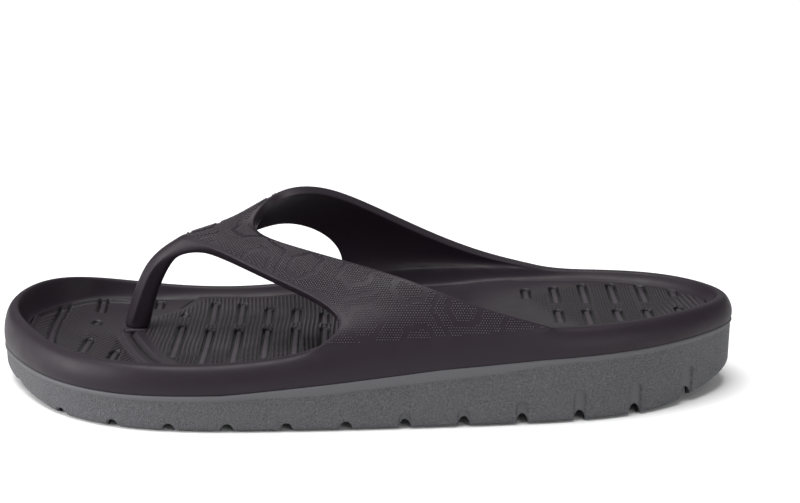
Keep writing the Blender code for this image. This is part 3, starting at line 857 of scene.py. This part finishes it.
def on_strap(x, s):
    """Point and normal on the strap's outer face for a place on the unrolled arch, or None."""
    radius = ARCH_RADIUS[0] if s < ARCH_RADIUS[0] * math.pi / 2 else ARCH_RADIUS[1]
    turn = math.pi / 2 + (s - ARCH_RADIUS[0] * math.pi / 2) / radius
    out = Vector((0, -math.cos(turn), math.sin(turn)))
    start = Vector((x, *ARCH_AXIS)) + out * ARCH_OUTSIDE
    point, normal, face, _ = strap_tree.ray_cast(start, -out)
    if point is None or not outside_values[face].value:
        return None
    corners = upper.data.polygons[face].vertices
    along = np.mean([along_values[v].value for v in corners])
    across = np.mean([across_values[v].value for v in corners])
    margin = min(across, 1 - across) * np.interp(along, range(len(strap_widths)), strap_widths)
    low = LOWEST_BEADS[0] + LOWEST_BEADS[1] * (x + 7)
    if margin < STRAP_MARGIN or point.z < low:
        return None
    return point, normal


def add_bead(points, faces, point, normal):
    """A six-sided dome, its foot sunk a little into the face. Low on the strap it is smaller."""
    small, start, stop = SMALL_BEADS
    size = small + (1 - small) * float(ramp(point.z, start, stop))
    side = normal.orthogonal().normalized()
    other = normal.cross(side)
    first = len(points)
    for radius, height in ((BEAD_RADIUS, -BEAD_SUNK), (BEAD_RADIUS * 0.82, BEAD_HIGH * 0.7)):
        for k in range(6):
            turn = k * math.pi / 3
            flat = side * math.cos(turn) + other * math.sin(turn)
            points.append(point + flat * radius * size + normal * height * size)
    points.append(point + normal * BEAD_HIGH * size)
    for k in range(6):
        j = (k + 1) % 6
        faces.append((first + k, first + j, first + 6 + j, first + 6 + k))
        faces.append((first + 6 + k, first + 6 + j, first + 12))
    faces.append(tuple(first + k for k in range(5, -1, -1)))


row, column = np.mgrid[0:BEAD_ROWS, 0:BEAD_COLUMNS]
bead_x = FIELD_START[0] + (column + 0.5 * (row % 2)).ravel() * BEAD_PITCH
bead_s = FIELD_START[1] + row.ravel() * BEAD_PITCH * math.sqrt(3) / 2
wanted = has_bead(bead_x, bead_s)
bead_points, bead_faces = [], []
for x, s in zip(bead_x[wanted], bead_s[wanted]):
    found = on_strap(x, s)
    if found:
        add_bead(bead_points, bead_faces, *found)
bead_mesh = bpy.data.meshes.new("strap_beads")
bead_mesh.from_pydata([(p + Vector(MIDDLE)) * MM for p in bead_points], [], bead_faces)
bead_mesh.shade_smooth()
beads = bpy.data.objects.new("strap_beads", bead_mesh)
scene.collection.objects.link(beads)

# Painted highlight: the same black foam, made three to four times lighter on the beads, with random
# tone between the two values.
BEAD_HIGHLIGHT_LOW = (0.040, 0.033, 0.041)
BEAD_HIGHLIGHT_HIGH = (0.064, 0.055, 0.065)

painted_highlight_foam, bead_shader = new_material("painted_highlight_foam", 0.42, 0.4)
bead_highlight_tone = two_tone(painted_highlight_foam, noise(painted_highlight_foam, 700, 1.0), BEAD_HIGHLIGHT_LOW, BEAD_HIGHLIGHT_HIGH)
join(painted_highlight_foam, bead_highlight_tone, bead_shader.inputs["Base Color"])
beads.data.materials.append(painted_highlight_foam)
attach(beads, "root")

# ---------------------------------------------------------------------------------------------
# Footbed. A moulded panel of the same foam, bonded inside the wall. Ribs, a raised pad under the
# ball of the foot, a fine grid under the heel and rows of ramped slots are all cut in its mould.
# Its colour is painted: darker in the rib channels, the slots' flanks and the pad's seam as painted
# shade, and lighter on the crowns and the slots' bars as painted highlight.
# ---------------------------------------------------------------------------------------------
FOOTBED_INSET = 10.3
FOOTBED_ROWS = 172
SLOT_HALF = 2.3
SLOT_DEEP = 1.6
BAR_HALF = 1.1                           # of the bar that rises along the middle of each slot
BAR_START = 1.5                          # from the deep end of the slot
SLANT = ((-150.0, -0.055), (-10.0, -0.055), (70.0, 0.035), (150.0, 0.035))

# Slots, each at its place along the foot: where it starts, deep, and where it runs out, shallow.
SLOTS = (
    (-111.5, 43.2, 28.8),
    (-111.6, 21.4, 16.8),
    (-111.6, 1.1, -17.4),
    (-111.2, -27.0, -29.5),
    (-99.4, -10.3, -27.5),
    (-87.7, 44.3, 33.8),
    (-75.6, 26.9, 21.4),
    (-75.6, 13.4, -27.9),
    (-63.8, 38.6, 12.4),
    (-63.8, 8.3, -39.6),
    (-52.2, 37.5, 12.7),
    (-52.2, 8.0, -35.9),
    (-40.6, 30.7, 9.9),
    (-40.6, 6.4, -32.5),
    (-29.0, 25.8, 8.4),
    (-29.0, 3.6, -31.6),
    (-17.4, 20.8, 6.8),
    (-17.4, 3.7, -21.6),
    (63.6, 24.5, 12.0),
    (75.2, 26.0, 5.5),
    (75.0, -1.8, -19.0),
    (87.0, 27.6, 4.0),
    (86.2, -2.7, -23.0),
    (98.8, 27.4, 3.0),
    (98.0, -3.7, -19.7),
    (110.8, 26.5, 4.0),
    (109.8, -4.0, -17.1),
    (123.2, 23.7, 9.8),
    (122.4, -2.1, -11.0),
    (136.0, 15.2, 7.9),
)
TOE_BAR = (-124.6, 41.9, -13.9, 3.2)     # place, both ends and how far its middle bows forward
PAD_FRONT = (
    (-71.0, 54.0),
    (-77.4, 39.9),
    (-80.6, 32.5),
    (-86.5, 27.2),
    (-91.8, 24.0),
    (-96.4, 15.0),
    (-95.4, 4.0),
    (-88.6, -11.7),
    (-81.8, -26.4),
    (-72.5, -41.2),
    (-62.0, -52.0),
)
HEEL_ZONE = ((-19.0, 72.0), (14.5, 55.0), (27.0, 80.0))
BALL_PITCH = (-17.4 + 75.6) / 5 / 7      # seven ribs from one row of slots to the next
BALL_HIGH = 0.85
TOE_HIGH = 0.6
HEEL_HIGH = 0.6
HEEL_PITCH = (1.16, 2.0)                 # along and across the foot
PAD_HIGH = 1.1
BASIN_DEEP = 1.3
SEAM_HALF = 0.5
SEAM_DEEP = 0.45
UNDER_CLEAR = 0.3                        # over the outsole


def slant_at(place):
    return np.interp(place, *np.transpose(SLANT))


def footbed_columns():
    """Places of the columns of points along the foot: close where the pattern is fine."""
    places = list(np.arange(-136.5, -96.0, 0.55)) + list(np.arange(-96.0, -8.0, 0.42))
    places += list(np.arange(-8.0, 56.0, 1.3)) + list(np.arange(56.0, 133.0, 0.4))
    for place in sorted({slot[0] for slot in SLOTS}):
        places = [p for p in places if abs(p - place) > SLOT_HALF + 0.4]
        edges = (0.0, 0.5, 0.85, 1.2, 1.55, 1.95, 2.35)
        places += [place + side * d for d in edges for side in (-1, 1)]
    places = np.unique(np.round(places, 3))
    return places[np.concatenate([[True], np.diff(places) > 0.04])]


def span_at(places, inset):
    """Outer and inner end of each slanted column inside the outline moved in by the inset."""
    edge = ring(soft_outline(2600), inset, 0)[:, :2]
    after = np.roll(edge, -1, axis=0)
    ends = []
    for place in places:
        slant = slant_at(place)
        gap = edge[:, 0] - slant * edge[:, 1] - place
        gap_after = after[:, 0] - slant * after[:, 1] - place
        cross = np.nonzero(gap * gap_after < 0)[0]
        share = gap[cross] / (gap[cross] - gap_after[cross])
        y = edge[cross, 1] * (1 - share) + after[cross, 1] * share
        ends.append((y.min(), y.max()) if len(y) > 1 else (np.nan, np.nan))
    return np.array(ends)


def pad_distance(x, y):
    """How far behind the front edge of the ball pad a point lies, along the foot."""
    front, across = np.transpose(PAD_FRONT[::-1])
    return x - np.interp(y, across, front)


def pad_seam(x, y):
    """1 on the fine groove along the front edge of the ball pad, falling to 0 beside it."""
    lean = pad_distance(0, y + 0.5) - pad_distance(0, y - 0.5)
    away = (pad_distance(x, y) + 0.2) / np.sqrt(1 + lean**2)
    return np.exp(-((away / SEAM_HALF) ** 2))


def slot_shape(place, y):
    """Depth of the slots, and how far each point is on a slot's bar (1) or in its flank (-1)."""
    depth, side = np.zeros_like(y), np.zeros_like(y)
    centre, start, stop, bow = TOE_BAR
    middle = ((y - stop) / (start - stop)).clip(0, 1)
    toe_line = centre - bow * 4 * middle * (1 - middle)
    runs = [(centre, start, stop) for centre, start, stop in SLOTS] + [(toe_line, start, stop)]
    for centre, start, stop in runs:
        across = np.abs(place - centre)
        away = np.hypot(across, np.maximum(0, y - start + SLOT_HALF))
        share = np.clip((start - y) / (start - stop), 0, 1)
        pit = ramp(SLOT_HALF - away, 0, 0.8) * ramp(y - stop, -0.4, 0.8) * (1 - 0.6 * share)
        bar = ramp(BAR_HALF - across, -0.35, 0.35) * ramp(start - BAR_START - y, -0.4, 0.5)
        bar = bar * (0.6 + 0.35 * share)
        size = min(1.0, 0.6 + (start - stop) / 12)
        depth = np.maximum(depth, SLOT_DEEP * size * pit * (1 - bar))
        side = np.where(pit > 0.02, ramp(pit, 0.02, 0.3) * (2 * bar - 1), side)
    return depth, side


def ribs(phase, sharp=1.0):
    """Rounded ribs from -0.5 in the channels to 0.5 on the crowns, one for each whole number."""
    return (0.5 + 0.5 * np.cos(2 * math.pi * phase)) ** sharp - 0.5


def footbed_levels(x, y, room):
    """The broad levels: the pad under the ball stands up, and the toe basin lies lower."""
    behind = pad_distance(x, y)
    pad = ramp(behind, 0.0, 2.2) * (1 - ramp(x, -30, -5))
    basin = (1 - ramp(behind, -6.5, -3.5)) * ramp(room, 0.2, 1.8)
    basin = basin * (1 - ramp(x, -101.8, -101.2) * ramp(y, 11.0, 14.0))
    return PAD_HIGH * pad - BASIN_DEEP * basin, basin


def footbed_pattern(place, x, y, room, basin):
    """The fine ribs and beads, as a height above and below the broad levels."""
    behind = pad_distance(x, y)
    sway = 0.3 * np.sin((y - 6) / 9.0) + 0.12 * np.sin(y / 5.0 + x / 15)
    lines = ribs((place + 75.6 - sway) / BALL_PITCH, 0.9)
    stitches = ribs(y / 1.9 + 0.1 * np.sin(x / 3.0)) + 0.5
    broken = ramp(y - 0.35 * x, 8.0, -6.0) * 0.8
    ball = ramp(behind, 4.0, 7.0) * (1 - ramp(x, -14.0, -6.0)) * ramp(room, 0.8, 2.6)
    pattern = BALL_HIGH * ball * ((lines + 0.5) * (1 - broken * (1 - stitches)) - 0.5)

    fan = (x - 0.5 * y - 0.003 * (y - 8) ** 2) / 2.0
    fade = 1 - 0.85 * ramp(y, 2, 16) * ramp(x, -122, -118)
    pattern = pattern + TOE_HIGH * basin * ribs(fan) * fade * ramp(room, 2.0, 3.6)
    pattern = pattern + 0.1 * basin * ribs(y / 1.3) * ramp(y, 24, 30) * ramp(x, -121, -118)

    front = np.interp(y, *np.transpose(HEEL_ZONE))
    heel = ramp(x - front, 0.0, 14.0) * ramp(room, 1.2, 3.4) * (1 - ramp(x, 133, 137))
    crosswise = ribs((place - 75.2) / HEEL_PITCH[0]) + 0.5
    lengthwise = ribs(y / HEEL_PITCH[1], 0.6) + 0.5
    grid = crosswise * lengthwise - 0.45
    coarse = ramp(x - 0.5 * y, 112, 128)
    wide = ribs((place + 0.12 * y) / 2.25)
    return pattern + HEEL_HIGH * heel * (grid * (1 - coarse) + 1.2 * wide * coarse)


places = footbed_columns()
ends = span_at(places, FOOTBED_INSET)
inside = ~np.isnan(ends[:, 0])
places, ends = places[inside], ends[inside]
share = np.linspace(0, 1, FOOTBED_ROWS)
y = ends[:, :1] + (ends[:, 1:] - ends[:, :1]) * share
x = places[:, None] + slant_at(places)[:, None] * y
tips = np.minimum(places - places[0], places[-1] - places)[:, None]
room = np.minimum(np.minimum(y - ends[:, :1], ends[:, 1:] - y), tips)
place_grid = np.broadcast_to(places[:, None], x.shape)
levels, basin = footbed_levels(x, y, room)
seam_line = pad_seam(x, y) * ramp(room, 0.1, 0.8)
slots, slot_side = slot_shape(place_grid, y)
between_slots = 1 - np.clip(np.abs(slot_side) * 4, 0, 1)
pattern = footbed_pattern(place_grid, x, y, room, basin) * between_slots
height = floor_height(x, y) + levels + pattern
height = height - slots * ramp(room, 0.2, 1.2) - SEAM_DEEP * seam_line
# Painted shade and painted highlight: the tone follows the relief. It is dark in channels, slot
# flanks and the seam, and light on crowns and slot bars.
painted_rib_shade = np.clip(0.5 + pattern / 0.6 + 0.6 * slot_side - 0.7 * seam_line, 0, 1)
top_sheet = np.stack([x, y, height], axis=-1)
side_x, side_y = x[:, [0, -1]], y[:, [0, -1]]
bottom = np.stack([side_x, side_y, seam_height(side_x) + UNDER_CLEAR], axis=-1)
skirts = [
    np.stack([top_sheet[:, 0], bottom[:, 0]], axis=1),
    np.stack([top_sheet[:, -1], bottom[:, 1]], axis=1),
]
fronts = []
for end in (0, -1):
    low = top_sheet[end].copy()
    low[:, 2] = seam_height(low[:, 0]) + UNDER_CLEAR
    fronts.append(np.stack([top_sheet[end], low], axis=0))
under = np.stack([bottom[:, 0], bottom[:, 1]], axis=1)
footbed = build(
    "footbed_panel",
    [
        (top_sheet.reshape(-1, 3), grid_faces(*x.shape)),
        (skirts[0].reshape(-1, 3), grid_faces(len(places), 2)),
        (skirts[1].reshape(-1, 3), grid_faces(len(places), 2)),
        (fronts[0].reshape(-1, 3), grid_faces(2, FOOTBED_ROWS)),
        (fronts[1].reshape(-1, 3), grid_faces(2, FOOTBED_ROWS)),
        (under.reshape(-1, 3), grid_faces(len(places), 2)),
    ],
    [painted_rib_shade.ravel(), np.full(6 * len(places) + 4 * FOOTBED_ROWS, 0.5)],
)

# Painted shade in the channels and painted highlight on the crowns of the same black foam.
CHANNEL_PAINTED_SHADE = (0.0026, 0.0016, 0.0028)
CROWN_PAINTED_LIGHT = (0.0310, 0.0235, 0.0320)

ribbed, ribbed_shader = new_material("ribbed_foam", 0.5, 0.3)
rib_shade_value = add_node(ribbed, "Attribute")
rib_shade_value.attribute_name = "grain_and_painted_shading"
painted_rib_tone = two_tone(ribbed, rib_shade_value.outputs["Fac"], CHANNEL_PAINTED_SHADE, CROWN_PAINTED_LIGHT)
join(ribbed, painted_rib_tone, ribbed_shader.inputs["Base Color"])
join(ribbed, spread(ribbed, noise(ribbed, 110, 3.0), 0.46, 0.56), ribbed_shader.inputs["Roughness"])
bumps(
    ribbed,
    ribbed_shader,
    [(noise(ribbed, 260, 2.0), 0.00006, 0.35), (noise(ribbed, 2600, 2.0), 0.00005, 0.5)],
)
footbed.data.materials.append(ribbed)
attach(footbed, "root")
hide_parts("footbed")

low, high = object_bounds()
